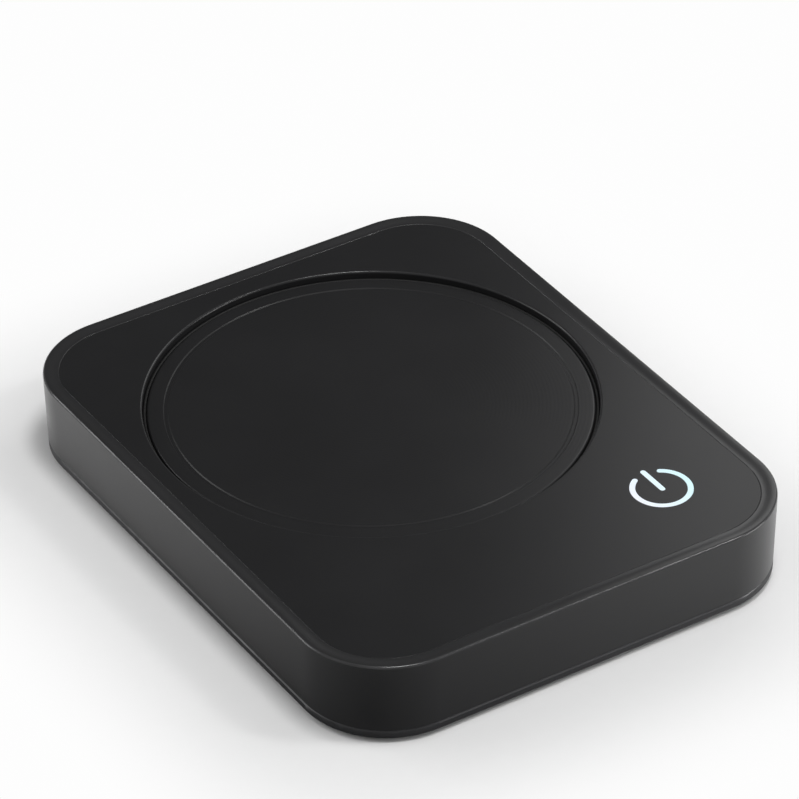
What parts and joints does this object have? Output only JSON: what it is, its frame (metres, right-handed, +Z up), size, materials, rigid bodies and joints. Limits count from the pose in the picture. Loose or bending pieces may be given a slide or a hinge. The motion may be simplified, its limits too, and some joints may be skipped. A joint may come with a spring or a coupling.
{
  "type": "mug warmer",
  "caption": "Flat rounded slab with a round heated seat for a mug, a lit touch mark in the front corner, rubber feet and a cord hole in the rear wall.",
  "frame": {"origin": "on the table, under the middle of the slab, at the bottom of the rubber feet", "axes": "+Z up through the top panel; +Y from the user's side (touch mark) to the rear (cord hole); +X to the user's right"},
  "size_m": [0.104, 0.13, 0.018],
  "materials": {
    "housing_plastic": "fine satin moulded finish",
    "panel_plastic": "smooth matte lacquer",
    "symbol_lens": "frosted white diffuser",
    "plate_coating": "satin non-stick coating",
    "seal_silicone": "matte",
    "base_plastic": "fine spark texture",
    "foot_rubber": "matte",
    "gland_rubber": "satin",
    "screw_steel": "zinc plated",
    "clamp_steel": "pressed sheet",
    "spring_steel": "drawn wire",
    "mica": "pearly sheet",
    "foil_alloy": "etched foil",
    "insulation_fibre": "pressed fibre",
    "sensor_ceramic": "glazed",
    "lead_jacket": "silicone insulation",
    "sleeve_weave": "varnished glass braid",
    "fuse_metal": "bright case",
    "board_laminate": "solder mask",
    "chip_epoxy": "moulded epoxy",
    "capacitor_film": "moulded box",
    "capacitor_can": "sleeved can",
    "varistor_epoxy": "dipped epoxy",
    "terminal_plastic": "moulded",
    "socket_plastic": "moulded",
    "hood_plastic": "moulded",
    "lamp_epoxy": "cast"
  },
  "bodies": {
    "root": {"top_housing": "housing_plastic", "top_panel": "panel_plastic", "symbol_light_guide": "symbol_lens", "plate_seal": "seal_silicone", "heating_plate": "plate_coating", "mica_sheet_upper": "mica", "heater_element": "foil_alloy", "mica_sheet_lower": "mica", "insulation_pad": "insulation_fibre", "clamp_plate": "clamp_steel", "base_plate": "base_plastic", "foot_rear_right": "foot_rubber", "foot_rear_left": "foot_rubber", "foot_front_left": "foot_rubber", "foot_front_right": "foot_rubber", "cord_gland": "gland_rubber", "base_screws": "screw_steel", "clamp_screws": "screw_steel", "board_screws": "screw_steel", "thermistor": "sensor_ceramic", "heater_leads": "lead_jacket", "thermal_fuse": "fuse_metal", "thermal_fuse_sleeve": "sleeve_weave", "sensor_leads": "lead_jacket", "control_board": "board_laminate", "microcontroller": "chip_epoxy", "triac": "chip_epoxy", "mains_fuse": "chip_epoxy", "film_capacitor": "capacitor_film", "varistor": "varistor_epoxy", "electrolytic_capacitor": "capacitor_can", "mains_terminal": "terminal_plastic", "heater_terminals": "socket_plastic", "sensor_connector": "socket_plastic", "light_hood": "hood_plastic", "indicator_lamps": "lamp_epoxy", "touch_spring": "spring_steel"}
  },
  "joints": []
}
